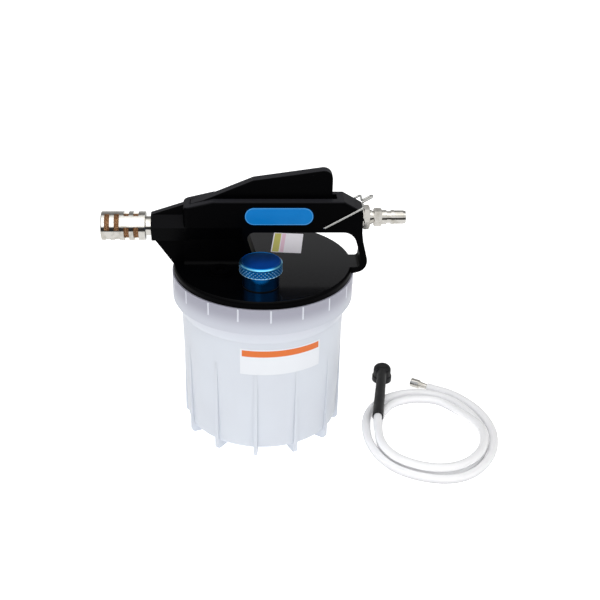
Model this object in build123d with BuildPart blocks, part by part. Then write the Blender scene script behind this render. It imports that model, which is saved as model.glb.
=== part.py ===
"""Compressed-air vacuum bleeder: a clear tank under a lid that is also the pump and the handle.

Millimetres, +Z up.  The origin is the middle of the tank's base, on the floor.  +X points along the
handle to the air plug, -X to the muffler, and -Y is the side with the pouring cap.
Air from the plug passes the lever's valve, blows through the ejector and leaves by the muffler,
and the ejector draws the tank empty of air, so that fluid comes in through the hose port.
"""

import os
from math import cos, hypot, pi, radians, sin, sqrt, tan

from build123d import *

# ---------------------------------------------------------------- driving dimensions
# Clearances
seat_gap = 0.05          # radial, between a piece and the bore that it is fixed in
slide_gap = 0.08         # radial, round a moving stem or pin
face_gap = 0.1           # between end faces that move against each other

# Tank
tank_wall = 2.2
foot_drop = 8.0          # the floor of the tank stands this high on its foot fins
collar_radius = 81.0
collar_step = 7.6        # the wall under the collar stands in by this
wall_draft = 3.4         # and leans in by this on its way down
neck_height = 120.0
cone_height = 13.0
rim_height = 157.0
floor_round = 4.0
shoulder_lift = 2.0      # the gasket's ledge above the foot of the collar
fin_count = 12
fin_turn = -5.5          # degrees from -Y
fin_thickness = 3.2
fin_proud = 2.6          # at the foot of the wall
fin_round = 4.0
hub_radius = 14.0

# Lid
lid_inset = 1.2          # the lid's edge stands in from the collar's
lid_rim = 6.4
lid_plate = 4.2
lid_round = 2.2
lid_seat_gap = 0.2       # between the lid's rim and the tank's rim: the gasket takes the load
spigot_gap = 0.7         # loose in the collar, because the gasket seals
spigot_wall = 3.4
gasket_thickness = 3.0
gasket_width = 5.2

# Pump body and handle, all one moulding with the lid
body_half_width = 13.0
body_inset = 9.8         # its left end stands in from the lid's edge
body_overhang = 7.0      # and its right end stands out
bar_height = 28.7        # from the grip's underside to the flat top
grip_height = 33.7       # clear height of the hand hole over the lid
slope_run = 26.3         # the left end of the top slopes down
slope_drop = 6.4
nose_down_run = 16.8     # the right end of the top is cut down at a slant
nose_down_drop = 9.7
edge_round = 2.0
corner_round = 5.0
web_half_width = 6.5     # the thin wall that carries the body on the lid
bevel_lift = 4.4         # the body's sides start to lean in this far above the grip
bevel_height = 13.9
flange = 4.4             # full-width border round the hand hole
hole_from_left = 55.9    # left end of the body to the hole
hole_lean = 8.6          # the hole's left side leans to the right as it goes down
hole_right = 7.6         # from the hole to the body's right end
strap_bulge = 5.1
barrel_length = 28.3
barrel_rib_half_width = 3.2
gusset_thickness = 5.0

# Lever
lever_width = 10.0
lever_side_gap = 0.4
lever_pivot_inset = 14.0    # from the body's left end
lever_pivot_depth = 12.0    # below the flat top
lever_travel = 8.5          # degrees
lever_boss_radius = 5.8
lever_heel = 7.4            # behind the pivot
lever_knee = 47.2           # in front of the pivot
lever_knee_height = 17.0    # above the flat top
lever_tip_inset = 26.8      # from the body's right end
lever_tip_height = 27.2
lever_tip_round = 8.0
lever_edge_round = 0.8
slot_depth = 18.5
slot_end_gap = 4.2
slot_left_gap = 0.8
pin_diameter = 4.0

# Lock bail
bail_wire = 1.9
bail_pivot_inset = 34.3     # from the body's right end
bail_pivot_lift = 4.4       # above the grip's underside
bail_reach = 39.1
bail_rest = 30.2            # degrees above the handle
bail_loop_length = 10.2
bail_loop_width = 4.4
bail_bend = 1.9
bail_foot_bend = 1.2
bail_hole_depth = 4.6
bail_side_gap = 0.35

# Valve, upright in the body
valve_reach = 26.0          # in front of the lever's pivot
valve_bore = 9.0
valve_chamber_drop = 21.3   # under the grip's underside
gland_length = 5.6
stem_diameter = 4.0
stem_ring_height = 2.0
seat_drop = 2.3             # under the grip's underside
seat_height = 5.0
seat_bore = 5.6
poppet_diameter = 7.6
poppet_height = 3.0
washer_height = 0.8
valve_spring_wire = 0.8
valve_spring_turns = 5

# Air line
muffler_lift = 0.8          # above the grip's underside
inlet_lift = 9.2
airway = 5.0
airway_drop = 3.0           # under the inlet's axis
ejector_bore = 11.0
nozzle_feed = 10.0          # from the valve to the nozzle
nozzle_body = 12.0
nozzle_tip = 6.0
nozzle_orifice = 1.6
nozzle_groove_start = 4.0
nozzle_ring_section = 1.0
suction_bore = 6.0
mixer_gap = 6.0             # from the nozzle's tip
mixer_throat = 3.2
mixer_exit = 8.0

# Muffler
muffler_diameter = 25.6
muffler_wall = 2.2
muffler_length = 39.3
muffler_gap = 4.4            # between the barrel's end and the shell
muffler_slot = 4.5
muffler_slot_pitch = 8.4
muffler_slot_first = 5.6     # from the closed end to the middle of the first ring of slots
muffler_slot_arc = 73.0
muffler_slot_turn = 41.0     # degrees up from -Y
nipple_thread = 13.0
nipple_thread_length = 9.6
nipple_collar = 17.0
nipple_bore = 8.0
nipple_spigot = 6.0

# Inlet
hex_bevel = 30.0             # degrees
bushing_hex = 19.0
bushing_hex_length = 5.6
bushing_thread = 13.0
bushing_thread_length = 14.0
washer_thickness = 1.0
plug_thread = 9.6
plug_thread_length = 12.0
plug_bore = 5.0
plug_collar = (13.0, 2.0)    # diameter and length of each step, from the bushing outwards
plug_neck = (11.0, 1.6)
plug_hex = (14.0, 7.2)
plug_shoulder = (12.5, 4.3)
plug_groove = (10.6, 3.8)
plug_head = (12.6, 2.5)
plug_nose = (12.0, 8.0)
plug_tip = (11.0, 2.5)

# Pouring neck and cap
pour_x = -2.6
pour_inset = 34.1            # from the lid's edge
pour_neck_diameter = 32.0
pour_neck_height = 12.2
pour_thread = 28.8
pour_thread_height = 6.5
pour_bore = 23.0
pour_seal_thickness = 1.0
pour_nut_across = 38.0
pour_nut_height = 5.0
pour_nut_thread = 28.0
cap_diameter = 37.4
cap_height = 9.7
cap_top = 2.2
cap_edge = 1.0
cap_seal_thickness = 1.0
cap_thread_gap = 0.3

# Hose port
port_x = -37.8
port_y = -23.5
port_boss = 22.6
port_boss_height = 2.0
port_body = 14.0
port_flange = 19.0
port_flange_height = 2.0
port_socket = 8.2
port_socket_depth = 11.0
port_bore = 4.6
port_barb = 7.0
port_barb_length = 12.0
port_ring_section = 1.6
drop_tube_diameter = 9.0
drop_tube_length = 84.0

# Overfill float
stub_diameter = 12.0
stub_length = 10.0
cage_inner = 19.4
cage_wall = 1.8
cage_length = 35.0
cage_window = 9.0
float_diameter = 18.0
float_seat_thickness = 2.0

# Hose set, lying beside the tank
hose_diameter = 8.0
hose_bore = 5.0
coil_x, coil_y = 158.0, -49.0
coil_half_x, coil_half_y = 55.0, 61.0
coil_width = 16.0
coil_layer = 7.7             # one turn's height
coil_gap_start, coil_gap_end = 70.0, 167.0     # degrees: here the upper turns are missing
adapter_mouth = (108.8, -27.0, 13.4)
adapter_head_x, adapter_head_y, adapter_head_axis = 122.3, 59.8, 11.8
adapter_mouth_diameter = 10.6
adapter_neck_diameter = 9.0
adapter_insert = 12.0
adapter_bore = 3.6
adapter_flange = 19.4
adapter_flange_height = 5.0
adapter_dome = 17.4
adapter_dome_top = 16.8
adapter_round = 5.0
adapter_socket = 7.0
fitting_head = 8.6
fitting_head_length = 8.5
fitting_neck = 6.4
fitting_neck_length = 9.0
fitting_barb_length = 7.0
fitting_bore = 2.6
fitting_x, fitting_y = 150.8, 47.8             # its free end
hose_end_length = 8.4
fitting_turn = -32.0                           # degrees from +X

# ---------------------------------------------------------------- heights and places that follow
rim_top = rim_height
neck_radius = collar_radius - collar_step
floor_radius = neck_radius - wall_draft
fin_radius = floor_radius + fin_proud
collar_foot = neck_height + cone_height
ledge_height = collar_foot + shoulder_lift
collar_bore = collar_radius - tank_wall
lid_radius = collar_radius - lid_inset
lid_underside = rim_top + lid_seat_gap
lid_top = lid_underside + lid_rim
plate_underside = lid_top - lid_plate
spigot_radius = collar_bore - spigot_gap
grip_underside = lid_top + grip_height
body_top = grip_underside + bar_height
bevel_top = grip_underside + bevel_lift
body_left = body_inset - lid_radius
body_right = lid_radius + body_overhang
barrel_left = body_left - barrel_length
hole_left = body_left + hole_from_left
lever_pivot_x = body_left + lever_pivot_inset
lever_left = lever_pivot_x - lever_heel
lever_knee_x = lever_pivot_x + lever_knee
lever_tip_x = body_right - lever_tip_inset
bail_pivot_x = body_right - bail_pivot_inset
valve_x = lever_pivot_x + valve_reach
nozzle_right = valve_x - nozzle_feed
suction_x = nozzle_right - nozzle_body - nozzle_tip
mixer_right = suction_x - mixer_gap
pour_y = pour_inset - lid_radius
valve_chamber_floor = grip_underside - valve_chamber_drop
seat_top = grip_underside - seat_drop
muffler_axis = grip_underside + muffler_lift
inlet_axis = grip_underside + inlet_lift
airway_height = inlet_axis - airway_drop
slot_floor = body_top - slot_depth
slot_left = lever_left - slot_left_gap
slot_right = lever_tip_x + slot_end_gap
web_foot = lid_top - edge_round
strap_top = grip_underside - 0.8
pin_length = 2 * (body_half_width - 2.0)
supply_x = valve_x + valve_bore      # the supply comes down beside the valve bore
supply_drop = 3.6
supply_height = valve_chamber_floor + 8.0
gland_top = slot_floor
lever_pivot_z = body_top - lever_pivot_depth
bail_pivot_z = grip_underside + bail_pivot_lift


def radial_plane(angle):
    """Upright plane through the Z axis: local x runs outwards at this angle from +X, local y is up."""
    outward = (cos(radians(angle)), sin(radians(angle)), 0)
    return Plane(origin=(0, 0, 0), x_dir=outward, z_dir=(outward[1], -outward[0], 0))


def upright_plane(x, y):
    """Upright plane through a vertical axis: local x is the radius, local y the height."""
    return Plane(origin=(x, y, 0), x_dir=(1, 0, 0), z_dir=(0, -1, 0))


def row_of_steps(start, direction, steps):
    """Outline of a row of cylinders along X, each (diameter, length), as (x, radius) points."""
    points = []
    x = start
    for diameter, length in steps:
        points.append((x, diameter / 2))
        x = x + direction * length
        points.append((x, diameter / 2))
    return points


def about_line(height, outer, inner):
    """Section of a piece turned about an X line at this height, from (x, radius) points of its two sides."""
    return [(x, height + r) for x, r in outer] + [(x, height + r) for x, r in reversed(inner)]


def corner_cut(x, inward, across):
    """Triangle that bevels a hexagon's corners at its end face when turned; (x, radius) points."""
    corner = across / sqrt(3) + 1
    bevel = (corner - across / 2) * tan(radians(hex_bevel))
    return [(x, across / 2), (x, corner), (x + inward * bevel, corner)]


def finish(piece, name):
    """Label a finished sub-part and write its STEP file."""
    piece.part.label = name
    export_step(piece.part, f"parts/{name}.step")


os.makedirs("parts", exist_ok=True)

# ---------------------------------------------------------------- tank
# Moulded polypropylene jar, as three solids that meet face to face: a lightly tapered cup, the wide
# collar on top of it, and twelve foot fins that run down the wall and under the floor to a hub.
with BuildPart() as cup:
    with BuildSketch(Plane.XZ):
        with BuildLine():
            Polyline((0, foot_drop), (floor_radius, foot_drop), (neck_radius, neck_height),
                     (0, neck_height), close=True)
        make_face()
    revolve(axis=Axis.Z)
    fillet(cup.edges().filter_by(GeomType.CIRCLE).sort_by(Axis.Z)[0], floor_round)

with BuildPart() as tank:
    add(cup)
    with BuildSketch(Plane.XZ):
        with BuildLine():
            Polyline((0, foot_drop + tank_wall), (floor_radius - tank_wall - floor_round, foot_drop + tank_wall),
                     (floor_radius - tank_wall, foot_drop + tank_wall + floor_round),
                     (neck_radius - tank_wall, neck_height), (0, neck_height), close=True)
        make_face()
    revolve(axis=Axis.Z, mode=Mode.SUBTRACT)
finish(tank, "tank")

with BuildPart() as tank_collar:
    with BuildSketch(Plane.XZ):
        with BuildLine():
            Polyline((neck_radius, neck_height), (collar_radius, collar_foot), (collar_radius, rim_top),
                     (collar_bore, rim_top), (collar_bore, ledge_height),
                     (neck_radius - tank_wall, ledge_height),
                     (neck_radius - tank_wall, neck_height), close=True)
        make_face()
    revolve(axis=Axis.Z)
finish(tank_collar, "tank_collar")

with BuildPart() as tank_feet:
    fin_planes = [radial_plane(fin_turn - 90 + k * 360 / fin_count) for k in range(fin_count)]
    with BuildSketch(*fin_planes):
        with BuildLine():
            Polyline((hub_radius - 1, 0), (fin_radius - fin_round, 0))
            TangentArc((fin_radius - fin_round, 0), (fin_radius, fin_round), tangent=(1, 0))
            Polyline((fin_radius, fin_round), (fin_radius, neck_height - cone_height),
                     (floor_radius - 2 * tank_wall, foot_drop + floor_round), (hub_radius - 1, foot_drop + 1),
                     (hub_radius - 1, 0))
        make_face()
    extrude(amount=fin_thickness / 2, both=True)
    with BuildSketch():
        Circle(hub_radius)
    extrude(amount=foot_drop)
    add(cup, mode=Mode.SUBTRACT)
finish(tank_feet, "tank_feet")

# Flat rubber ring on the ledge inside the collar.
with BuildPart() as lid_gasket:
    with BuildSketch(Plane.XY.offset(ledge_height)):
        Circle(collar_bore - spigot_gap)
        Circle(collar_bore - spigot_gap - gasket_width, mode=Mode.SUBTRACT)
    extrude(amount=gasket_thickness)
finish(lid_gasket, "lid_gasket")

# ---------------------------------------------------------------- lid with pump body and handle
# One moulding.  The lid is a plate with a spigot that presses on the gasket.  Above it a long block
# stands on a thin wall, with sides that lean in under it, and a full-width border runs round the hand
# hole and comes down as a strap onto a tongue at the lid's edge.  The block is bored for the valve,
# the ejector and their air passages, and slotted for the lever.
grip_profile = [(body_left, bevel_top), (body_left, body_top - slope_drop),
                (body_left + slope_run, body_top), (body_right - nose_down_run, body_top),
                (body_right, body_top - nose_down_drop), (body_right, grip_underside),
                (hole_left - flange, grip_underside), (hole_left - flange, bevel_top)]
strap_outer = [(body_right, strap_top), (body_right + 0.7, grip_underside - 5.5),
               (body_right + 2.7, grip_underside - 16.3), (body_right + strap_bulge, lid_top + 8.6),
               (body_right + strap_bulge, lid_top + 3.0), (body_right + 1.6, lid_top - 2.9),
               (body_right - 3.4, lid_top - 5.2), (spigot_radius, lid_underside)]
hole_outline = [(hole_left - 2.0, grip_underside), (hole_left + hole_lean, lid_top),
                (body_right - 1.2, lid_top),
                (body_right - 0.5, lid_top + 9.0), (body_right - hole_right, grip_underside)]
hole_radii = [6.0, 1.0, 3.0, 10.0, 12.0]
barrel_section = [(-barrel_rib_half_width, 12.0), (barrel_rib_half_width, 12.0), (11.8, 3.0), (6.6, -11.5),
                  (-6.6, -11.5), (-11.8, 3.0)]

with BuildPart() as lid_handle:
    with BuildSketch(Plane.XZ):
        with BuildLine():
            Polyline(grip_profile, close=True)
        make_face()
    extrude(amount=body_half_width, both=True)
    with BuildSketch(Plane.YZ.offset(body_left)):
        with BuildLine():
            Polyline((-body_half_width, bevel_top), (body_half_width, bevel_top),
                     (web_half_width, bevel_top - bevel_height), (web_half_width, web_foot),
                     (-web_half_width, web_foot), (-web_half_width, bevel_top - bevel_height), close=True)
        make_face()
    extrude(amount=hole_left + hole_lean - flange / 2 - body_left)
    with BuildSketch(Plane.XY.offset(web_foot)):
        for side in (-1, 1):
            with Locations((body_left + corner_round / 2, side * (body_half_width - corner_round / 2))):
                Rectangle(corner_round, corner_round)
            with Locations((body_left + corner_round, side * (body_half_width - corner_round))):
                Circle(corner_round, mode=Mode.SUBTRACT)
    extrude(amount=body_top - web_foot, mode=Mode.SUBTRACT)
    top_edges = lid_handle.edges().filter_by(
        lambda e: e.center().Z > body_top - nose_down_drop - 1 and abs(e.center().Y) > body_half_width - 0.1
        and abs(e.tangent_at(0.5).X) > 0.5)
    fillet(top_edges, edge_round)

    with BuildSketch(Plane.XZ):
        with BuildLine():
            Polyline((0, plate_underside), (spigot_radius - spigot_wall, plate_underside),
                     (spigot_radius - spigot_wall, ledge_height + gasket_thickness),
                     (spigot_radius, ledge_height + gasket_thickness), (spigot_radius, lid_underside),
                     (lid_radius, lid_underside), (lid_radius, lid_top), (0, lid_top), close=True)
        make_face()
    revolve(axis=Axis.Z)
    fillet(lid_handle.edges().filter_by(GeomType.CIRCLE).filter_by(
        lambda e: abs(e.radius - lid_radius) < 0.01 and abs(e.center().Z - lid_top) < 0.01), lid_round)
    web_edges = lid_handle.edges().filter_by(Axis.X).filter_by(
        lambda e: abs(e.center().Z - lid_top) < 0.01 and abs(abs(e.center().Y) - web_half_width) < 0.01)
    fillet(web_edges, corner_round - 1)

    with BuildSketch(Plane.XZ):
        with BuildLine():
            Polyline((hole_left - flange, bevel_top), (hole_left - flange, grip_underside - 2 * edge_round),
                     (hole_left + hole_lean - flange, lid_top),
                     (hole_left + hole_lean - flange, plate_underside),
                     (spigot_radius, plate_underside), (spigot_radius, lid_underside))
            Spline(strap_outer[::-1])
            Polyline((body_right, strap_top), (body_right, bevel_top), (hole_left - flange, bevel_top))
        make_face()
    extrude(amount=body_half_width, both=True)
    with BuildSketch(Plane.XZ):
        with BuildLine():
            FilletPolyline(hole_outline, radius=hole_radii, close=True)
        make_face()
    extrude(amount=body_half_width + 1, both=True, mode=Mode.SUBTRACT)

    # Nose: a six-sided barrel with a rib along its top and a gusset down to the lid.
    with BuildSketch(Plane.YZ.offset(barrel_left)):
        with BuildLine():
            Polyline([(y, muffler_axis + z) for y, z in barrel_section], close=True)
        make_face()
    extrude(amount=body_left + corner_round - barrel_left)
    with BuildSketch(Plane.XZ):
        with BuildLine():
            Polyline((barrel_left, muffler_axis), (barrel_left, muffler_axis + 12),
                     (body_left, body_top - slope_drop),
                     (body_left + corner_round, body_top - slope_drop),
                     (body_left + corner_round, muffler_axis),
                     close=True)
        make_face()
    extrude(amount=barrel_rib_half_width, both=True)
    with BuildSketch(Plane.XZ):
        with BuildLine():
            Polyline((barrel_left + 1.5, muffler_axis - 11), (-lid_radius + 0.5, web_foot),
                     (body_left + 2, web_foot),
                     (body_left + 2, muffler_axis - 11), close=True)
        make_face()
    extrude(amount=gusset_thickness / 2, both=True)
    with BuildSketch(Plane.XY.offset(web_foot)):
        with Locations((port_x, port_y)):
            Circle(port_boss / 2)
    extrude(amount=lid_top + port_boss_height - web_foot)
    with BuildSketch(Plane.XY.offset(plate_underside)):
        with Locations((suction_x, 0)):
            Circle(stub_diameter / 2)
    extrude(amount=-stub_length)

    # Lever slot and its pin hole, which stops short of the -Y face.
    with BuildSketch(Plane.XZ):
        with BuildLine():
            Polyline((slot_left, slot_floor), (slot_right, slot_floor), (slot_right, body_top + 1),
                     (slot_left, body_top + 1), close=True)
        make_face()
    extrude(amount=lever_width / 2 + lever_side_gap, both=True, mode=Mode.SUBTRACT)
    with BuildSketch(Plane.XZ.offset(pin_length / 2)):
        with Locations((lever_pivot_x, lever_pivot_z)):
            Circle(pin_diameter / 2 + seat_gap)
    extrude(amount=-pin_length / 2 - body_half_width - 1, mode=Mode.SUBTRACT)

    # Bail pivots: a blind hole in each side.
    for side in (-1, 1):
        with BuildSketch(Plane.XZ.offset(side * (body_half_width - bail_hole_depth))):
            with Locations((bail_pivot_x, bail_pivot_z)):
                Circle(bail_wire / 2 + slide_gap)
        extrude(amount=side * (bail_hole_depth + 1), mode=Mode.SUBTRACT)

    # Valve bore up to the slot, with the supply drilled into its chamber from the side.
    with BuildSketch(Plane.XY.offset(valve_chamber_floor)):
        with Locations((valve_x, 0)):
            Circle(valve_bore / 2)
    extrude(amount=slot_floor - valve_chamber_floor, mode=Mode.SUBTRACT)
    with BuildSketch(Plane.YZ.offset(supply_x)):
        with Locations((0, airway_height)):
            Circle(airway / 2)
    extrude(amount=body_right - bushing_thread_length - supply_x + 1, mode=Mode.SUBTRACT)
    with BuildSketch(Plane.XY.offset(supply_height)):
        with Locations((supply_x, 0)):
            Circle(supply_drop / 2)
    extrude(amount=airway_height - supply_height, mode=Mode.SUBTRACT)
    with BuildSketch(Plane.YZ.offset(valve_x)):
        with Locations((0, supply_height)):
            Circle(supply_drop / 2)
    extrude(amount=supply_x - valve_x, mode=Mode.SUBTRACT)
    with BuildSketch(Plane.YZ.offset(body_right - bushing_thread_length - 1)):
        with Locations((0, inlet_axis)):
            Circle(bushing_thread / 2 + seat_gap)
    extrude(amount=bushing_thread_length + 2, mode=Mode.SUBTRACT)

    # Ejector bore from the nose, its feed from the valve, and the suction bore down into the tank.
    with BuildSketch(Plane.YZ.offset(nozzle_right)):
        with Locations((0, muffler_axis)):
            Circle(supply_drop / 2 + 0.2)
    extrude(amount=valve_x - nozzle_right, mode=Mode.SUBTRACT)
    with BuildSketch(Plane.YZ.offset(nozzle_right)):
        with Locations((0, muffler_axis)):
            Circle(ejector_bore / 2)
    extrude(amount=barrel_left - nozzle_right - 1, mode=Mode.SUBTRACT)
    with BuildSketch(Plane.YZ.offset(barrel_left + nipple_thread_length + face_gap)):
        with Locations((0, muffler_axis)):
            Circle(nipple_thread / 2 + seat_gap)
    extrude(amount=-nipple_thread_length - 1, mode=Mode.SUBTRACT)
    with BuildSketch(Plane.XY.offset(plate_underside - stub_length)):
        with Locations((suction_x, 0)):
            Circle(suction_bore / 2)
    extrude(amount=muffler_axis - plate_underside + stub_length, mode=Mode.SUBTRACT)

    # Holes in the lid for the pouring neck and the hose port.
    with BuildSketch(Plane.XY.offset(plate_underside - 1)):
        with Locations((pour_x, pour_y)):
            Circle(pour_nut_thread / 2)
        with Locations((port_x, port_y)):
            Circle(port_body / 2 + seat_gap)
    extrude(amount=lid_plate + port_boss_height + 2, mode=Mode.SUBTRACT)
finish(lid_handle, "lid_handle")


muffler_line = Axis((0, 0, muffler_axis), (1, 0, 0))
inlet_line = Axis((0, 0, inlet_axis), (1, 0, 0))
valve_line = Axis((valve_x, 0, 0), (0, 0, 1))
pour_line = Axis((pour_x, pour_y, 0), (0, 0, 1))
port_line = Axis((port_x, port_y, 0), (0, 0, 1))

# ---------------------------------------------------------------- lever and its pin
# The pin goes in from the +Y side and stays hidden from the front.
with BuildPart() as lever_pivot_pin:
    with BuildSketch(Plane.XZ):
        with Locations((lever_pivot_x, lever_pivot_z)):
            Circle(pin_diameter / 2)
    extrude(amount=pin_length / 2, both=True)
finish(lever_pivot_pin, "lever_pivot_pin")

# The lever's underside touches the boss round the pin, and lies flat along the slot when pressed.
lever_rise = radians(lever_travel)
under_x = lever_pivot_x + lever_boss_radius * sin(lever_rise)
under_z = lever_pivot_z - lever_boss_radius * cos(lever_rise)
tip_under = under_z + (lever_tip_x - under_x) * tan(lever_rise)
lever_left_top = body_top - slope_drop + (lever_left - body_left) * slope_drop / slope_run
with BuildPart() as lever:
    with BuildSketch(Plane.XZ):
        with BuildLine():
            Polyline((lever_left, lever_pivot_z + 2), (lever_left, lever_left_top),
                     (lever_pivot_x + 4, lever_left_top + 3.4), (lever_knee_x, body_top + lever_knee_height),
                     (lever_tip_x, body_top + lever_tip_height), (lever_tip_x, tip_under), (under_x, under_z))
            RadiusArc((under_x, under_z), (lever_pivot_x - lever_boss_radius, lever_pivot_z),
                      lever_boss_radius)
            Line((lever_pivot_x - lever_boss_radius, lever_pivot_z), (lever_left, lever_pivot_z + 2))
        make_face()
    extrude(amount=lever_width / 2, both=True)
    across = lever.edges().filter_by(Axis.Y)
    fillet(across.filter_by(lambda e: e.center().Z > body_top + lever_tip_height - 1), lever_tip_round)
    across = lever.edges().filter_by(Axis.Y)
    fillet(across.filter_by(lambda e: abs(e.center().Z - body_top - lever_knee_height) < 0.5),
           lever_boss_radius)
    fillet(lever.faces().filter_by(Axis.Y).edges(), lever_edge_round)
    with BuildSketch(Plane.XZ):
        with Locations((lever_pivot_x, lever_pivot_z)):
            Circle(pin_diameter / 2 + slide_gap)
    extrude(amount=lever_width, both=True, mode=Mode.SUBTRACT)
finish(lever, "lever")

# ---------------------------------------------------------------- lock bail
# One bent wire: an end in each side of the handle, two arms, and a crossbar with a finger loop.
bail_side = body_half_width + bail_side_gap + bail_wire / 2
bail_foot = body_half_width - bail_hole_depth + face_gap
bail_bar_x = bail_pivot_x + bail_reach * cos(radians(bail_rest))
bail_bar_z = bail_pivot_z + bail_reach * sin(radians(bail_rest))
bail_loop_x = bail_bar_x + bail_loop_length * cos(radians(bail_rest))
bail_loop_z = bail_bar_z + bail_loop_length * sin(radians(bail_rest))
bail_half = [(bail_pivot_x, bail_foot, bail_pivot_z), (bail_pivot_x, bail_side, bail_pivot_z),
             (bail_bar_x, bail_side, bail_bar_z), (bail_bar_x, bail_loop_width / 2, bail_bar_z),
             (bail_loop_x, bail_loop_width / 2, bail_loop_z)]
with BuildPart() as lock_bail:
    with BuildLine() as bail_path:
        FilletPolyline([(x, -y, z) for x, y, z in bail_half] + bail_half[::-1],
                       radius=[bail_foot_bend] + [bail_bend] * 6 + [bail_foot_bend])
    with BuildSketch(Plane(origin=bail_path.line @ 0, z_dir=bail_path.line % 0)):
        Circle(bail_wire / 2)
    sweep(path=bail_path.line)
finish(lock_bail, "lock_bail")

# ---------------------------------------------------------------- valve
seat_foot = seat_top - seat_height
gland_middle = gland_top - gland_length / 2
poppet_top = seat_foot - washer_height
lever_under = under_z + (valve_x - under_x) * tan(lever_rise)
dome_centre = lever_under - (stem_diameter / 2 + face_gap) / cos(lever_rise)
ring_section = 1.6

# Brass guide at the top of the bore, with a groove for its O-ring.
with BuildPart() as valve_gland:
    with BuildSketch(upright_plane(valve_x, 0)):
        with Locations((0, gland_middle)):
            Rectangle(valve_bore - 2 * seat_gap, gland_length)
            Rectangle(stem_diameter + 2 * slide_gap, gland_length + 1, mode=Mode.SUBTRACT)
            Rectangle(stem_diameter + 2 * ring_section + 0.4, stem_ring_height, mode=Mode.SUBTRACT)
        with Locations((-valve_bore, gland_middle)):
            Rectangle(2 * valve_bore, gland_length + 1, mode=Mode.SUBTRACT)
    revolve(axis=valve_line)
finish(valve_gland, "valve_gland")

with BuildPart() as stem_o_ring:
    with BuildSketch(Plane.XY.offset(gland_middle - ring_section / 2)):
        with Locations((valve_x, 0)):
            Circle(stem_diameter / 2 + seat_gap + ring_section)
            Circle(stem_diameter / 2 + seat_gap, mode=Mode.SUBTRACT)
    extrude(amount=ring_section)
finish(stem_o_ring, "stem_o_ring")

with BuildPart() as valve_seat:
    with BuildSketch(Plane.XY.offset(seat_foot)):
        with Locations((valve_x, 0)):
            Circle(valve_bore / 2 - seat_gap)
            Circle(seat_bore / 2, mode=Mode.SUBTRACT)
    extrude(amount=seat_height)
finish(valve_seat, "valve_seat")

# The stem's domed top stays just under the lever; its head holds a rubber washer up to the seat.
with BuildPart() as valve_stem:
    with BuildSketch(upright_plane(valve_x, 0)):
        with BuildLine():
            Polyline((0, dome_centre + stem_diameter / 2), (0, poppet_top - poppet_height),
                     (poppet_diameter / 2, poppet_top - poppet_height), (poppet_diameter / 2, poppet_top),
                     (stem_diameter / 2, poppet_top), (stem_diameter / 2, dome_centre))
            RadiusArc((stem_diameter / 2, dome_centre), (0, dome_centre + stem_diameter / 2),
                      -stem_diameter / 2)
        make_face()
    revolve(axis=valve_line)
finish(valve_stem, "valve_stem")

with BuildPart() as poppet_washer:
    with BuildSketch(Plane.XY.offset(poppet_top)):
        with Locations((valve_x, 0)):
            Circle(poppet_diameter / 2)
            Circle(stem_diameter / 2 + seat_gap, mode=Mode.SUBTRACT)
    extrude(amount=washer_height)
finish(poppet_washer, "poppet_washer")

# Return spring, from the floor of the chamber to the stem's head.
spring_radius = poppet_diameter / 2 - valve_spring_wire
spring_height = poppet_top - poppet_height - valve_chamber_floor - valve_spring_wire - 2 * face_gap
with BuildPart() as valve_spring:
    with BuildLine() as spring_path:
        Helix(pitch=spring_height / valve_spring_turns, height=spring_height, radius=spring_radius,
              center=(valve_x, 0, valve_chamber_floor + valve_spring_wire / 2 + face_gap))
    with BuildSketch(Plane(origin=spring_path.line @ 0, x_dir=(1, 0, 0), z_dir=spring_path.line % 0)):
        Rectangle(valve_spring_wire, valve_spring_wire)
    sweep(path=spring_path.line, is_frenet=True)
finish(valve_spring, "valve_spring")

# ---------------------------------------------------------------- air inlet
hex_left = body_right + washer_thickness
hex_right = hex_left + bushing_hex_length
plug_inner = hex_right - plug_thread_length
with BuildPart() as bushing_washer:
    with BuildSketch(Plane.YZ.offset(body_right)):
        with Locations((0, inlet_axis)):
            Circle(bushing_hex / 2)
            Circle(bushing_thread / 2 + seat_gap, mode=Mode.SUBTRACT)
    extrude(amount=washer_thickness)
finish(bushing_washer, "bushing_washer")

with BuildPart() as inlet_bushing:
    with BuildSketch(Plane.YZ.offset(hex_left)):
        with Locations((0, inlet_axis)):
            RegularPolygon(bushing_hex / 2, 6, major_radius=False)
    extrude(amount=bushing_hex_length)
    with BuildSketch(Plane.YZ.offset(body_right - bushing_thread_length)):
        with Locations((0, inlet_axis)):
            Circle(bushing_thread / 2)
    extrude(amount=hex_left - body_right + bushing_thread_length)
    with BuildSketch(Plane.XZ):
        with BuildLine():
            Polyline(about_line(inlet_axis, [(body_right - bushing_thread_length - 1, plug_bore / 2 + 1),
                                             (plug_inner, plug_bore / 2 + 1),
                                             (plug_inner, plug_thread / 2 + seat_gap),
                                             (hex_right + 1, plug_thread / 2 + seat_gap)],
                                [(body_right - bushing_thread_length - 1, 0), (hex_right + 1, 0)]),
                                close=True)
        make_face()
        for x, inward in ((hex_left, 1), (hex_right, -1)):
            with BuildLine():
                Polyline(about_line(inlet_axis, corner_cut(x, inward, bushing_hex), []), close=True)
            make_face()
    revolve(axis=inlet_line, mode=Mode.SUBTRACT)
finish(inlet_bushing, "inlet_bushing")

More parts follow.
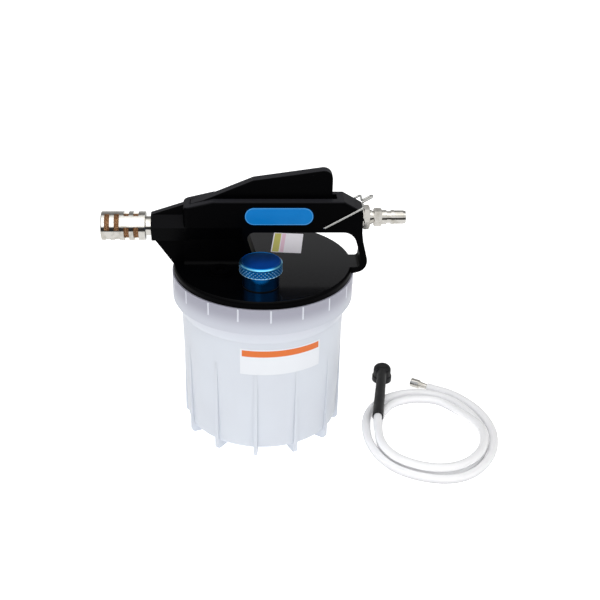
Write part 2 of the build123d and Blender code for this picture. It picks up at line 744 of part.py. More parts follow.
# Quick plug: thread, collar, neck, hexagon, shoulder, groove for the coupling's balls, and nose.
plug_outer = row_of_steps(plug_inner, 1, [(plug_thread, plug_thread_length), plug_collar,
                                          (plug_neck[0], plug_neck[1] + plug_hex[1]), plug_shoulder,
                                          plug_groove, plug_head, plug_nose])
plug_end = plug_outer[-1][0] + plug_tip[1]
plug_hex_left = hex_right + plug_collar[1] + plug_neck[1]
plug_outer.append((plug_end, plug_tip[0] / 2))
with BuildPart() as inlet_plug:
    with BuildSketch(Plane.XZ):
        with BuildLine():
            Polyline(about_line(inlet_axis, plug_outer,
                                [(plug_inner, plug_bore / 2), (plug_end, plug_bore / 2)]),
                     close=True)
        make_face()
    revolve(axis=inlet_line)
    with BuildSketch(Plane.YZ.offset(plug_hex_left)):
        with Locations((0, inlet_axis)):
            RegularPolygon(plug_hex[0] / 2, 6, major_radius=False)
            Circle(plug_bore / 2 + 1, mode=Mode.SUBTRACT)
    extrude(amount=plug_hex[1])
    with BuildSketch(Plane.XZ):
        for x, inward in ((plug_hex_left, 1), (plug_hex_left + plug_hex[1], -1)):
            with BuildLine():
                Polyline(about_line(inlet_axis, corner_cut(x, inward, plug_hex[0]), []), close=True)
            make_face()
    revolve(axis=inlet_line, mode=Mode.SUBTRACT)
finish(inlet_plug, "inlet_plug")

# ---------------------------------------------------------------- ejector and muffler
nozzle_left = nozzle_right - nozzle_body
nozzle_end = nozzle_left - nozzle_tip
mixer_left = barrel_left + nipple_thread_length + face_gap
ejector_outer = ejector_bore / 2 - seat_gap
nozzle_groove = ejector_outer - nozzle_ring_section
nozzle_groove_width = 1.6 * nozzle_ring_section

with BuildPart() as ejector_nozzle:
    groove_right = nozzle_right - nozzle_groove_start
    groove_left = groove_right - nozzle_groove_width
    nozzle_outer = [(nozzle_right, ejector_outer), (groove_right, ejector_outer),
                    (groove_right, nozzle_groove),
                    (groove_left, nozzle_groove), (groove_left, ejector_outer), (nozzle_left, ejector_outer),
                    (nozzle_end, nozzle_orifice / 2 + 1)]
    nozzle_inner = [(nozzle_right, 3.0), (nozzle_end + 2, nozzle_orifice / 2),
                    (nozzle_end, nozzle_orifice / 2)]
    with BuildSketch(Plane.XZ):
        with BuildLine():
            Polyline(about_line(muffler_axis, nozzle_outer, nozzle_inner), close=True)
        make_face()
    revolve(axis=muffler_line)
finish(ejector_nozzle, "ejector_nozzle")

with BuildPart() as nozzle_o_ring:
    with BuildSketch(Plane.YZ.offset(nozzle_right - nozzle_groove_start - nozzle_groove_width / 2)):
        with Locations((0, muffler_axis)):
            Circle(ejector_outer)
            Circle(nozzle_groove, mode=Mode.SUBTRACT)
    extrude(amount=nozzle_ring_section / 2, both=True)
finish(nozzle_o_ring, "nozzle_o_ring")

with BuildPart() as mixing_tube:
    mixer_inner = [(mixer_right, mixer_throat / 2 + 2.2), (mixer_right - 5, mixer_throat / 2),
                   (mixer_right - 9, mixer_throat / 2), (mixer_left, mixer_exit / 2)]
    with BuildSketch(Plane.XZ):
        with BuildLine():
            Polyline(about_line(muffler_axis, [(mixer_right, ejector_outer), (mixer_left, ejector_outer)],
                                mixer_inner), close=True)
        make_face()
    revolve(axis=muffler_line)
finish(mixing_tube, "mixing_tube")

shell_right = barrel_left - muffler_gap
shell_left = shell_right - muffler_length
nipple_right = barrel_left + nipple_thread_length
nipple_outer = row_of_steps(nipple_right, -1, [(nipple_thread, nipple_thread_length), (nipple_collar, muffler_gap),
                                               (nipple_thread, muffler_wall + nipple_spigot)])
with BuildPart() as muffler_nipple:
    nipple_end = nipple_outer[-1][0]
    with BuildSketch(Plane.XZ):
        with BuildLine():
            Polyline(about_line(muffler_axis, nipple_outer, [(nipple_right, nipple_bore / 2),
                                                             (nipple_end, nipple_bore / 2)]), close=True)
        make_face()
    revolve(axis=muffler_line)
finish(muffler_nipple, "muffler_nipple")

# Turned shell with four rings of three slots, each ring a half pitch round from its neighbour pair.
shell_bore = muffler_diameter / 2 - muffler_wall
with BuildPart() as muffler_shell:
    with BuildSketch(Plane.YZ.offset(shell_left)):
        with Locations((0, muffler_axis)):
            Circle(muffler_diameter / 2)
    extrude(amount=muffler_length)
    fillet(muffler_shell.edges(), edge_round / 2)
    with BuildSketch(Plane.YZ.offset(shell_left + muffler_wall)):
        with Locations((0, muffler_axis)):
            Circle(shell_bore)
    extrude(amount=muffler_length - 2 * muffler_wall, mode=Mode.SUBTRACT)
    with BuildSketch(Plane.YZ.offset(shell_right - muffler_wall - 1)):
        with Locations((0, muffler_axis)):
            Circle(nipple_thread / 2 + seat_gap)
    extrude(amount=muffler_wall + 2, mode=Mode.SUBTRACT)
    for ring in range(4):
        slot_x = shell_left + muffler_slot_first + ring * muffler_slot_pitch
        ring_turn = muffler_slot_turn - 60 * (ring // 2)
        for k in range(3):
            turn = radians(ring_turn + muffler_slot_arc / 2 + 120 * k)
            slot_plane = Plane(origin=(slot_x, 0, muffler_axis), x_dir=(1, 0, 0),
                               z_dir=(0, -sin(turn), -cos(turn)))
            with BuildSketch(slot_plane):
                with Locations((0, muffler_diameter / 2)):
                    Rectangle(muffler_slot, 2 * muffler_wall + 1)
            revolve(axis=muffler_line, revolution_arc=muffler_slot_arc, mode=Mode.SUBTRACT)
finish(muffler_shell, "muffler_shell")

with BuildPart() as muffler_core:
    with BuildSketch(Plane.YZ.offset(shell_left + muffler_wall)):
        with Locations((0, muffler_axis)):
            Circle(shell_bore - seat_gap)
            Circle(nipple_thread / 2 + seat_gap, mode=Mode.SUBTRACT)
    extrude(amount=muffler_length - 2 * muffler_wall)
finish(muffler_core, "muffler_core")

# ---------------------------------------------------------------- overfill float under the suction bore
# When fluid lifts the ball to the rubber seat, the suction stops.
stub_foot = plate_underside - stub_length
cage_radius = cage_inner / 2 + cage_wall
cage_foot = stub_foot - cage_length
seat_ring_foot = stub_foot - float_seat_thickness
with BuildPart() as suction_seat:
    with BuildSketch(Plane.XY.offset(seat_ring_foot)):
        with Locations((suction_x, 0)):
            Circle(cage_inner / 2 - seat_gap)
            Circle(suction_bore / 2, mode=Mode.SUBTRACT)
    extrude(amount=float_seat_thickness)
finish(suction_seat, "suction_seat")

with BuildPart() as float_cage:
    with BuildSketch(Plane.XY.offset(cage_foot)):
        with Locations((suction_x, 0)):
            Circle(cage_radius)
    extrude(amount=cage_length + cage_wall)
    with BuildSketch(Plane.XY.offset(stub_foot + cage_wall)):
        with Locations((suction_x, 0)):
            Circle(stub_diameter / 2 + cage_wall)
    extrude(amount=stub_length - 2 * cage_wall)
    with BuildSketch(Plane.XY.offset(cage_foot + cage_wall)):
        with Locations((suction_x, 0)):
            Circle(cage_inner / 2)
    extrude(amount=cage_length - cage_wall, mode=Mode.SUBTRACT)
    with BuildSketch(Plane.XY.offset(cage_foot - 1)):
        with Locations((suction_x, 0)):
            Circle(float_diameter / 4)
    extrude(amount=cage_wall + 2, mode=Mode.SUBTRACT)
    with BuildSketch(Plane.XY.offset(stub_foot)):
        with Locations((suction_x, 0)):
            Circle(stub_diameter / 2 + seat_gap)
    extrude(amount=stub_length, mode=Mode.SUBTRACT)
    with BuildSketch(Plane.XY.offset(cage_foot + 3 * cage_wall)):
        with Locations((suction_x, 0)):
            Rectangle(2 * cage_radius + 2, cage_window)
            Rectangle(cage_window, 2 * cage_radius + 2)
    extrude(amount=cage_length - 7 * cage_wall, mode=Mode.SUBTRACT)
finish(float_cage, "float_cage")

# The ball rests on the edge of the hole in the cage's floor.
float_rest = cage_foot + cage_wall + sqrt((float_diameter / 2) ** 2 - (float_diameter / 4) ** 2) + face_gap
with BuildPart() as float_ball:
    with Locations((suction_x, 0, float_rest)):
        Sphere(float_diameter / 2)
finish(float_ball, "float_ball")

# ---------------------------------------------------------------- pouring neck and cap
neck_foot = lid_top + pour_seal_thickness
cap_foot = neck_foot + pour_neck_height
thread_top = cap_foot + pour_thread_height
cap_bore = pour_thread + 2 * cap_thread_gap
with BuildPart() as pour_neck_seal:
    with BuildSketch(Plane.XY.offset(lid_top)):
        with Locations((pour_x, pour_y)):
            Circle(pour_neck_diameter / 2)
            Circle(pour_nut_thread / 2, mode=Mode.SUBTRACT)
    extrude(amount=pour_seal_thickness)
finish(pour_neck_seal, "pour_neck_seal")

with BuildPart() as pour_neck:
    neck_shank = pour_nut_thread / 2 - seat_gap
    with BuildSketch(upright_plane(pour_x, pour_y)):
        with BuildLine():
            Polyline((pour_bore / 2, plate_underside - pour_nut_height),
                     (neck_shank, plate_underside - pour_nut_height),
                     (neck_shank, neck_foot), (pour_neck_diameter / 2, neck_foot),
                     (pour_neck_diameter / 2, cap_foot),
                     (pour_thread / 2, cap_foot), (pour_thread / 2, thread_top),
                     (pour_bore / 2, thread_top), close=True)
        make_face()
    revolve(axis=pour_line)
finish(pour_neck, "pour_neck")

with BuildPart() as pour_neck_nut:
    with BuildSketch(Plane.XY.offset(plate_underside - pour_nut_height)):
        with Locations((pour_x, pour_y)):
            RegularPolygon(pour_nut_across / 2, 6, major_radius=False)
            Circle(pour_nut_thread / 2, mode=Mode.SUBTRACT)
    extrude(amount=pour_nut_height)
finish(pour_neck_nut, "pour_neck_nut")

with BuildPart() as pour_cap:
    with BuildSketch(Plane.XY.offset(cap_foot)):
        with Locations((pour_x, pour_y)):
            Circle(cap_diameter / 2)
    extrude(amount=cap_height)
    chamfer(pour_cap.edges().group_by(Axis.Z)[-1], cap_edge)
    with BuildSketch(Plane.XY.offset(cap_foot)):
        with Locations((pour_x, pour_y)):
            Circle(cap_bore / 2)
    extrude(amount=cap_height - cap_top, mode=Mode.SUBTRACT)
finish(pour_cap, "pour_cap")

with BuildPart() as cap_seal:
    with BuildSketch(Plane.XY.offset(thread_top)):
        with Locations((pour_x, pour_y)):
            Circle(cap_bore / 2 - seat_gap)
    extrude(amount=cap_seal_thickness)
finish(cap_seal, "cap_seal")

# ---------------------------------------------------------------- hose port
boss_top = lid_top + port_boss_height
port_top = boss_top + port_flange_height
socket_foot = port_top - port_socket_depth
port_foot = socket_foot - 1.6
ring_middle = boss_top - 2.0
port_groove = port_socket / 2 + seat_gap + port_ring_section
with BuildPart() as port_insert:
    with BuildSketch(upright_plane(port_x, port_y)):
        with BuildLine():
            Polyline((port_bore / 2, port_foot - port_barb_length),
                     (port_barb / 2 - seat_gap, port_foot - port_barb_length),
                     (port_barb / 2 - seat_gap, port_foot),
                     (port_body / 2, port_foot), (port_body / 2, boss_top), (port_flange / 2, boss_top),
                     (port_flange / 2, port_top), (port_socket / 2, port_top),
                     (port_socket / 2, ring_middle + 0.9), (port_groove, ring_middle + 0.9),
                     (port_groove, ring_middle - 0.9), (port_socket / 2, ring_middle - 0.9),
                     (port_socket / 2, socket_foot), (port_bore / 2, socket_foot), close=True)
        make_face()
    revolve(axis=port_line)
finish(port_insert, "port_insert")

with BuildPart() as port_o_ring:
    with BuildSketch(Plane.XY.offset(ring_middle - port_ring_section / 2)):
        with Locations((port_x, port_y)):
            Circle(port_groove)
            Circle(port_groove - port_ring_section, mode=Mode.SUBTRACT)
    extrude(amount=port_ring_section)
finish(port_o_ring, "port_o_ring")

with BuildPart() as drop_tube:
    with BuildSketch(Plane.XY.offset(port_foot - drop_tube_length)):
        with Locations((port_x, port_y)):
            Circle(drop_tube_diameter / 2)
            Circle(port_barb / 2, mode=Mode.SUBTRACT)
    extrude(amount=drop_tube_length)
finish(drop_tube, "drop_tube")

# ---------------------------------------------------------------- hose set beside the tank
# The coil is the outer shape of the loose turns: two strands wide, one turn high where the adapter
# lies across it and two turns high elsewhere.
coil_edge = coil_layer * 0.4
far = 2 * coil_half_y
gap_turns = [radians(a) for a in (coil_gap_start, (coil_gap_start + coil_gap_end) / 2, coil_gap_end)]
with BuildPart() as hose_coil:
    with BuildSketch(Plane.XY.offset(coil_layer)):
        with Locations((coil_x, coil_y)):
            Ellipse(coil_half_x + coil_width / 2, coil_half_y + coil_width / 2)
            Ellipse(coil_half_x - coil_width / 2, coil_half_y - coil_width / 2, mode=Mode.SUBTRACT)
    extrude(amount=coil_layer)
    chamfer(hose_coil.edges().filter_by(GeomType.ELLIPSE), coil_edge)
    with BuildSketch(Plane.XY.offset(coil_layer)):
        with BuildLine():
            Polyline([(coil_x, coil_y)] + [(coil_x + far * cos(a), coil_y + far * sin(a)) for a in gap_turns],
                     close=True)
        make_face()
    extrude(amount=coil_layer, mode=Mode.SUBTRACT)
    with BuildSketch():
        with Locations((coil_x, coil_y)):
            Ellipse(coil_half_x + coil_width / 2, coil_half_y + coil_width / 2)
            Ellipse(coil_half_x - coil_width / 2, coil_half_y - coil_width / 2, mode=Mode.SUBTRACT)
    extrude(amount=coil_layer)
    chamfer(hose_coil.edges().filter_by(GeomType.ELLIPSE).group_by(Axis.Z)[0], coil_edge)
finish(hose_coil, "hose_coil")

# Bleed adapter: a rubber tube that widens to its mouth, and a domed head with a socket under it.
adapter_start = Vector(adapter_head_x, adapter_head_y, adapter_head_axis)
adapter_reach = Vector(*adapter_mouth) - adapter_start
adapter_axis = adapter_reach.normalized()
with BuildPart() as bleed_adapter:
    with BuildSketch(Plane(origin=adapter_start, z_dir=adapter_axis)):
        Circle(adapter_neck_diameter / 2)
    with BuildSketch(Plane(origin=adapter_start + adapter_reach, z_dir=adapter_axis)):
        Circle(adapter_mouth_diameter / 2)
    loft()
    with BuildSketch(upright_plane(adapter_head_x, adapter_head_y)):
        with BuildLine():
            Polyline((adapter_dome / 2 - adapter_round, adapter_dome_top), (0, adapter_dome_top), (0, 0),
                     (adapter_flange / 2, 0), (adapter_flange / 2, adapter_flange_height),
                     (adapter_dome / 2, adapter_flange_height + 0.6),
                     (adapter_dome / 2, adapter_dome_top - adapter_round))
            RadiusArc((adapter_dome / 2, adapter_dome_top - adapter_round),
                      (adapter_dome / 2 - adapter_round, adapter_dome_top), -adapter_round)
        make_face()
    revolve(axis=Axis(adapter_start, (0, 0, 1)))
    with BuildSketch(Plane(origin=adapter_start, z_dir=adapter_axis)):
        Circle(adapter_bore / 2)
    extrude(amount=adapter_reach.length + 1, mode=Mode.SUBTRACT)
    with BuildSketch(Plane(origin=adapter_start + adapter_reach, z_dir=adapter_axis)):
        Circle(hose_diameter / 2 + seat_gap)
    extrude(amount=-adapter_insert, mode=Mode.SUBTRACT)
    with BuildSketch(Plane.XY.offset(-1)):
        with Locations((adapter_head_x, adapter_head_y)):
            Circle(adapter_socket / 2)
    extrude(amount=adapter_head_axis + 1, mode=Mode.SUBTRACT)
finish(bleed_adapter, "bleed_adapter")

# Hose end from the adapter to where the coil's upper turns begin.
with BuildPart() as hose_end_adapter:
    with BuildSketch(Plane(origin=adapter_start + adapter_reach - adapter_axis * adapter_insert,
                           z_dir=adapter_axis)):
        Circle(hose_diameter / 2)
        Circle(hose_bore / 2, mode=Mode.SUBTRACT)
    extrude(amount=adapter_insert + hose_end_length)
finish(hose_end_adapter, "hose_end_adapter")

# Hose fitting: a short nickel sleeve, open at its free end, with a tapered neck and a barb in the hose.
fitting_axis = Vector(cos(radians(fitting_turn)), sin(radians(fitting_turn)), 0)
fitting_start = Vector(fitting_x, fitting_y, fitting_head / 2)
fitting_plane = Plane(origin=fitting_start, x_dir=(0, 0, 1), z_dir=fitting_axis)
with BuildPart() as hose_fitting:
    with BuildSketch(fitting_plane):
        Circle(fitting_head / 2)
    extrude(amount=fitting_head_length)
    with BuildSketch(fitting_plane.offset(fitting_head_length)):
        Circle(fitting_neck / 2)
    with BuildSketch(fitting_plane.offset(fitting_head_length + fitting_neck_length)):
        Circle(hose_bore / 2 - seat_gap)
    loft()
    with BuildSketch(fitting_plane.offset(fitting_head_length + fitting_neck_length)):
        Circle(hose_bore / 2 - seat_gap)
    extrude(amount=fitting_barb_length)
    with BuildSketch(fitting_plane):
        Circle(fitting_bore / 2)
    extrude(amount=fitting_head_length + fitting_neck_length + fitting_barb_length, mode=Mode.SUBTRACT)
    with BuildSketch(fitting_plane):
        Circle(hose_bore / 2)
    extrude(amount=fitting_head_length * 0.7, mode=Mode.SUBTRACT)
finish(hose_fitting, "hose_fitting")

# Hose end from the fitting to the coil's outer strand: straight runs joined by tangent arcs.
hose_from_fitting = fitting_start + fitting_axis * (fitting_head_length + fitting_neck_length)
hose_route = [tuple(hose_from_fitting), (178.5, 30.5, 4.3), (187.5, 20.0, 4.1), (193.6, 5.5, 4.1)]


def bend_radii(route):
    """Largest tangent arcs that share each run: 0.45 of the shorter run over the tangent of half the turn."""
    radii = []
    for a, b, c in zip(route, route[1:], route[2:]):
        before = Vector(*b) - Vector(*a)
        after = Vector(*c) - Vector(*b)
        turn = radians(before.get_angle(after))
        radii.append(0.45 * min(before.length, after.length) / tan(turn / 2))
    return radii


hose_radii = bend_radii(hose_route)
print("hose bend radii", [round(r, 1) for r in hose_radii])
with BuildPart() as hose_end_fitting:
    with BuildLine() as hose_path:
        FilletPolyline(hose_route, radius=hose_radii)
    with BuildSketch(Plane(origin=hose_path.line @ 0, z_dir=hose_path.line % 0)):
        Circle(hose_diameter / 2)
        Circle(hose_bore / 2, mode=Mode.SUBTRACT)
    sweep(path=hose_path.line)
hose_section = pi * (hose_diameter ** 2 - hose_bore ** 2) / 4
hose_length = hose_path.wire().length
print("hose end volume over section times length", hose_end_fitting.part.volume / (hose_section * hose_length))
finish(hose_end_fitting, "hose_end_fitting")
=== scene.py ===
from math import cos, pi, radians, sin

import bmesh
import bpy
from mathutils import Matrix, Vector


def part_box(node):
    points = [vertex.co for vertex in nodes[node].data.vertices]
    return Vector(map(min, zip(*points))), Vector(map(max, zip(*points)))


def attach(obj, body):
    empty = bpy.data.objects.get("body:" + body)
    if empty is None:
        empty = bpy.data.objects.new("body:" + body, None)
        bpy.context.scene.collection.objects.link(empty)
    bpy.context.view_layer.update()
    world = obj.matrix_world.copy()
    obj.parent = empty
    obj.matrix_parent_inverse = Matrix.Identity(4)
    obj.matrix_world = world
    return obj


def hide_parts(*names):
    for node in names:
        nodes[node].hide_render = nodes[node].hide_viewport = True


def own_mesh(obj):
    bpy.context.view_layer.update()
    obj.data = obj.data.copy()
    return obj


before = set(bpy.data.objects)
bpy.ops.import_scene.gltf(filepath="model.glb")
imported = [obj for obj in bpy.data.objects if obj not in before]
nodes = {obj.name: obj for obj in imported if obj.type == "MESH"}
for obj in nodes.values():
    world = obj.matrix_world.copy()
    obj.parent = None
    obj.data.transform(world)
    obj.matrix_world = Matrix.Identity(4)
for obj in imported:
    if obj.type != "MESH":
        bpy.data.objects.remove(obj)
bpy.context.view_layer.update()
scene = bpy.context.scene

# ---------------------------------------------------------------- camera
# A short telephoto lens about a metre away, looking down on the lid from in front of the jar.
camera = bpy.data.objects.new("camera", bpy.data.cameras.new("camera"))
scene.collection.objects.link(camera)
scene.camera = camera
camera.data.lens = 69.345
camera.data.sensor_width = 36
camera.data.shift_x, camera.data.shift_y = 0.0419, 0.0003
camera_at = (-0.018573, -0.929525, 0.623719)
pan, tilt_down, roll = -1.837, 28.28, 0.782
camera.matrix_world = (Matrix.Translation(camera_at) @ Matrix.Rotation(radians(pan), 4, "Z")
                       @ Matrix.Rotation(radians(90 - tilt_down), 4, "X")
                       @ Matrix.Rotation(radians(roll), 4, "Z"))


# ---------------------------------------------------------------- studio
# A white laminate table under a wide softbox, with a smaller one in front.  Behind the camera the room is
# white high up and dark below that; behind the jar it is light low down and grey above.
def linear(hex_colour, alpha=1.0):
    """sRGB hex to linear colour."""
    parts = [int(hex_colour[k:k + 2], 16) / 255 for k in (1, 3, 5)]
    return [c / 12.92 if c <= 0.04045 else ((c + 0.055) / 1.055) ** 2.4 for c in parts] + [alpha]


def plug(tree, node, inputs):
    """Sets a node's inputs, in order or by name or number, to values or to the outputs that feed them."""
    for name, value in inputs.items() if isinstance(inputs, dict) else enumerate(inputs):
        if isinstance(value, bpy.types.NodeSocket):
            tree.links.new(value, node.inputs[name])
        else:
            node.inputs[name].default_value = value


def add(tree, kind, inputs=(), output=None, **settings):
    """Adds a shader node with its settings and inputs; gives the output named, or the first in use."""
    node = tree.nodes.new("ShaderNode" + kind)
    for name, value in settings.items():
        setattr(node, name, value)
    plug(tree, node, inputs)
    return node.outputs[output] if output else next((s for s in node.outputs if s.enabled), None)


def material(name, colour, roughness, **sockets):
    """A material with one Principled shader; sockets are set by name, with _ for a space.

    Gives the material, its node tree, its shader and its Object coordinates, in metres."""
    made = bpy.data.materials.new(name)
    made.use_nodes = True
    tree = made.node_tree
    shader = tree.nodes["Principled BSDF"]
    plug(tree, shader, {"Base Color": linear(colour), "Roughness": roughness})
    plug(tree, shader, {socket.replace("_", " "): value for socket, value in sockets.items()})
    return made, tree, shader, add(tree, "TexCoord", output="Object")


eased = {"interpolation_type": "SMOOTHSTEP"}          # a MapRange with soft ends
scene.view_settings.view_transform = "Standard"
scene.world = bpy.data.worlds.new("studio")
scene.world.use_nodes = True
room = scene.world.node_tree
room.nodes.clear()
direction = add(room, "TexCoord", output="Generated")
depth = add(room, "SeparateXYZ", [direction], "Y")
rise = add(room, "SeparateXYZ", [direction], "Z")
to_front = add(room, "MapRange", (depth, 0.12, -0.12), **eased)
front_wall = add(room, "MapRange", (rise, 0.10, 0.26, 0.03, 0.85), **eased)
back_wall = add(room, "MapRange", (rise, 0.436, 0.452, 0.52, 0.24), **eased)
walls = add(room, "Mix", {"Factor": to_front, "A": back_wall, "B": front_wall})
table = add(room, "MapRange", (rise, -0.36, -0.44), **eased)
glow = add(room, "Mix", {"Factor": table, "A": walls, "B": 0.95})
add(room, "OutputWorld", [add(room, "Background", (linear("#FFFFFF"), glow))])

floor_reach = 30
floor_mesh = bmesh.new()
bmesh.ops.create_grid(floor_mesh, x_segments=1, y_segments=1, size=floor_reach)
floor = bpy.data.objects.new("floor", bpy.data.meshes.new("floor"))
floor_mesh.to_mesh(floor.data)
floor_mesh.free()
scene.collection.objects.link(floor)
floor.visible_glossy = False
white_table = material("white laminate table", "#F4F4F4", 0.9, Emission_Color=linear("#FFFFFF"),
                       Emission_Strength=0.7)[0]
floor.data.materials.append(white_table)

aimed_at = Vector((0.04, 0, 0.1))
for name, stand, size, power in (("overhead softbox", (0.1, -0.15, 1.7), 1.8, 9),
                                 ("front softbox", (-0.5, -1.7, 1.3), 1.0, 4)):
    softbox = bpy.data.objects.new(name, bpy.data.lights.new(name, "AREA"))
    scene.collection.objects.link(softbox)
    softbox.data.size = size
    softbox.data.energy = power
    aim = aimed_at - Vector(stand)
    softbox.matrix_world = Matrix.Translation(stand) @ aim.to_track_quat("-Z", "Y").to_matrix().to_4x4()

# ---------------------------------------------------------------- hose
# Extruded soft PVC tube, milky and slightly see-through.  It lies on the table in loose turns, with one
# end pushed into the bleed adapter and the other on a nickel fitting.
mm = 0.001
mix_a, mix_b = 6, 7          # where a Mix node takes its two colours
colours = {"data_type": "RGBA"}
even_scatter = (1.0, 1.0, 1.0)
milky_pvc, tree, shader, spot = material("milky soft PVC", "#ECECF0", 0.2, Subsurface_Weight=0.45,
                                         Subsurface_Scale=0.004, Subsurface_Radius=even_scatter,
                                         Specular_IOR_Level=0.5)
# Painted shade: the tube is painted greyer towards its underside, where it lies on the table.
off_floor = add(tree, "SeparateXYZ", [spot], "Z")
out_of_painted_shade = add(tree, "MapRange", (off_floor, 0.5 * mm, 7.0 * mm), **eased)
tube_colour = add(tree, "Mix", {0: out_of_painted_shade, mix_a: linear("#B2B2B5"), mix_b: linear("#FBFBFD")}, **colours)
waves = add(tree, "TexNoise", {"Vector": spot, "Scale": 1 / (6 * mm)})
relief = add(tree, "Bump", {"Height": waves, "Distance": 0.15 * mm})
plug(tree, shader, {"Base Color": tube_colour, "Normal": relief})

# The route is in millimetres.
hose_diameter = 8.0
coil_x, coil_y = 158.0, -49.0
coil_half_x, coil_half_y = 55.0, 61.0
adapter_head = Vector((122.3, 59.8, 11.8))
adapter_mouth = Vector((108.8, -27.0, 13.4))
adapter_insert = 12.0
hose_end = 8.4
along_adapter = (adapter_mouth - adapter_head).normalized()
route = [adapter_mouth - along_adapter * adapter_insert, adapter_mouth,
         adapter_mouth + along_adapter * hose_end]

# Angle round the coil, distance out from its middle line, and height of the hose's middle: the first turn
# lies on the two below and comes down on the table part of the way round, and the last swings out.
down, over = 4.1, 12.1          # on the table, and on the turns that lie there
turns = [(180, -4.5, 12.4), (200, -2.5, over), (220, -1.5, over), (245, -4.0, over), (285, -5.0, over),
         (310, -7.0, over), (345, -8.5, over), (362, -9.0, 11.6), (378, -10.0, 10.0), (390, -10.0, 8.0),
         (402, -8.5, 6.5), (412, -6.0, 5.0), (421, -2.0, down), (437, 4.5, down), (460, 5.5, down),
         (475, 7.5, down), (493, 3.0, down), (505, 0.5, down), (520, -4.0, down), (535, -6.0, down),
         (560, -5.0, down), (590, -5.0, down), (610, -7.0, down), (640, -5.5, down), (670, -8.0, down),
         (690, -9.0, down), (715, -7.0, down), (735, -5.0, down), (750, -2.0, down), (765, 2.0, down),
         (780, 8.0, down), (795, 13.0, down), (810, 16.0, down), (825, 17.0, down), (840, 16.5, down),
         (860, 14.0, down), (870, 11.5, down), (882, 7.5, down), (900, 5.0, down), (920, 3.0, down),
         (950, 3.0, down), (965, 1.0, down), (980, 1.0, down), (1000, 2.5, down), (1020, 1.5, down),
         (1035, 0.0, down), (1055, -0.5, down), (1075, 1.0, down), (1087, 3.0, down), (1095, 4.5, down)]
step_angle = 15
loosened = 1.009          # a spline runs a little inside its points
for angle in range(turns[0][0], turns[-1][0] + 1, step_angle):
    before, after = next((a, b) for a, b in zip(turns, turns[1:]) if angle <= b[0])
    share = (angle - before[0]) / (after[0] - before[0])
    out, above_table = (a + share * (b - a) for a, b in zip(before[1:], after[1:]))
    route.append(Vector((coil_x + (coil_half_x + out) * loosened * cos(radians(angle)),
                         coil_y + (coil_half_y + out) * loosened * sin(radians(angle)), above_table)))
fitting_start, fitting_turn = Vector((150.8, 47.8, 4.3)), radians(-32)
fitting_head, fitting_neck, fitting_lead = 8.5, 9.0, 5
along_fitting = Vector((cos(fitting_turn), sin(fitting_turn), 0))
route += [Vector(point) for point in ((212.3, -13.5, down), (205.5, 3.0, down), (195.8, 17.0, down),
                                      (186.2, 27.0, down), (177.5, 31.8, 4.2))]
route += [fitting_start + along_fitting * (fitting_head + fitting_neck + fitting_lead),
          fitting_start + along_fitting * (fitting_head + fitting_neck)]

hose_curve = bpy.data.curves.new("hose", "CURVE")
hose_curve.dimensions = "3D"
spline = hose_curve.splines.new("NURBS")
spline.points.add(len(route) - 1)
for point, stop in zip(spline.points, route):
    point.co = (*(stop * mm), 1)
spline.order_u = 3
spline.use_endpoint_u = True
spline.resolution_u = 6
hose_curve.bevel_depth = hose_diameter / 2 * mm
hose_curve.bevel_resolution = 5
hose_curve.use_fill_caps = True
hose_curve.materials.append(milky_pvc)
hose = bpy.data.objects.new("hose", hose_curve)
scene.collection.objects.link(hose)
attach(hose, "tank_set")
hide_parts("hose_coil", "hose_end_adapter", "hose_end_fitting")


# ---------------------------------------------------------------- jar
# Injection-moulded natural polypropylene: milky and satin, with light glowing through the wall.  Behind the
# collar stands the lid's black spigot, so the wall there is painted darker as shade, and the painted shade
# fades off below.
def paint(made, *names):
    """Gives CAD nodes this material."""
    for name in names:
        nodes[name].data.materials.clear()
        nodes[name].data.materials.append(made)


wall_white = "#D1D6DE"
moulded = {"Subsurface_Weight": 0.15, "Subsurface_Scale": 0.002, "Subsurface_Radius": even_scatter,
           "Specular_IOR_Level": 0.35}
polypropylene, tree, shader, spot = material("natural polypropylene", wall_white, 0.34, **moulded)
jar_height = add(tree, "SeparateXYZ", [spot], "Z")
# Painted shade: darker up the collar, where the black spigot stands behind the wall, and fading off down the
# cone under it.
cone_shade = add(tree, "MapRange", (jar_height, 112 * mm, 140 * mm), **eased)
collar_shade = add(tree, "MapRange", (jar_height, 136 * mm, 152 * mm), **eased)
clouds = add(tree, "TexNoise", {"Vector": spot, "Scale": 1 / (45 * mm), "Detail": 1.0})
cloudy = add(tree, "MapRange", (clouds, 0.35, 0.65, 0.0, 0.25), **eased)
jar_colour = linear(wall_white)
for share, tint in ((cloudy, "#C9CCD4"), (cone_shade, "#C2C5CF"), (collar_shade, "#9E9EAB")):
    jar_colour = add(tree, "Mix", {0: share, mix_a: jar_colour, mix_b: linear(tint)}, **colours)
sinks = add(tree, "TexNoise", {"Vector": spot, "Scale": 1 / (25 * mm)})
relief = add(tree, "Bump", {"Height": sinks, "Distance": 0.3 * mm})
plug(tree, shader, {"Base Color": jar_colour, "Normal": relief})
paint(polypropylene, "tank", "tank_collar", "tank_feet")


# ---------------------------------------------------------------- grip ribs
# Low upright ribs round the collar, moulded with it, so that wet hands can hold the jar while the lid
# is pushed on or pulled off.
def piece(name, mesh, body, finish, smooth=None):
    """Makes an object of a bmesh; it rides on a body.  Edges sharper than smooth, in degrees, stay sharp."""
    bmesh.ops.recalc_face_normals(mesh, faces=mesh.faces[:])
    made = bpy.data.objects.new(name, bpy.data.meshes.new(name))
    mesh.to_mesh(made.data)
    mesh.free()
    if smooth:
        made.data.polygons.foreach_set("use_smooth", [True] * len(made.data.polygons))
        made.data.set_sharp_from_angle(angle=radians(smooth))
    made.data.materials.append(finish)
    scene.collection.objects.link(made)
    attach(made, body)
    return made


